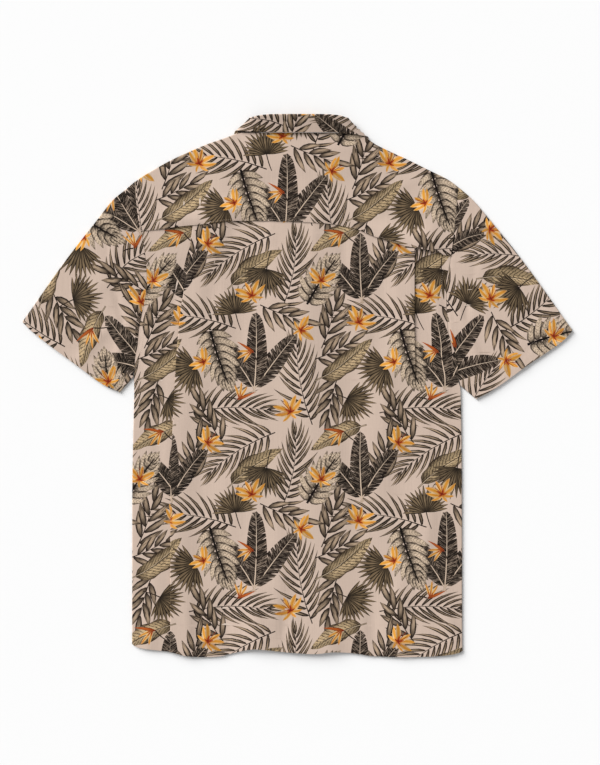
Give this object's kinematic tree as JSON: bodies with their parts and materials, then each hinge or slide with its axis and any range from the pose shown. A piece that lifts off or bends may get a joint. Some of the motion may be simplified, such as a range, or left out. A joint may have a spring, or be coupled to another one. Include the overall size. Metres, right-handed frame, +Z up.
{
  "type": "hawaiian shirt",
  "caption": "Short-sleeved button-front shirt with a yoke, side pleats in the back and a stand collar with a fall, laid flat on its front.",
  "frame": {"origin": "centre of the outline on the surface that the shirt lies on", "axes": "+Z up, out of the shirt's back; +Y from the hem to the collar; +X across the shirt to the wearer's right"},
  "size_m": [0.8028, 0.7912, 0.0168],
  "materials": {
    "printed_cloth": "plain-woven rayon or cotton with a matt leaf and flower print on a pinkish beige ground",
    "buttons": "dark brown four-hole shirt buttons, lightly polished"
  },
  "bodies": {
    "root": {"back": "printed_cloth", "yoke": "printed_cloth", "front_left": "printed_cloth", "front_right": "printed_cloth", "sleeve_left": "printed_cloth", "sleeve_right": "printed_cloth", "collar_stand": "printed_cloth", "collar_fall": "printed_cloth", "button_stand": "buttons", "button_1": "buttons", "button_2": "buttons", "button_3": "buttons", "button_4": "buttons", "button_5": "buttons", "button_6": "buttons"}
  },
  "joints": []
}
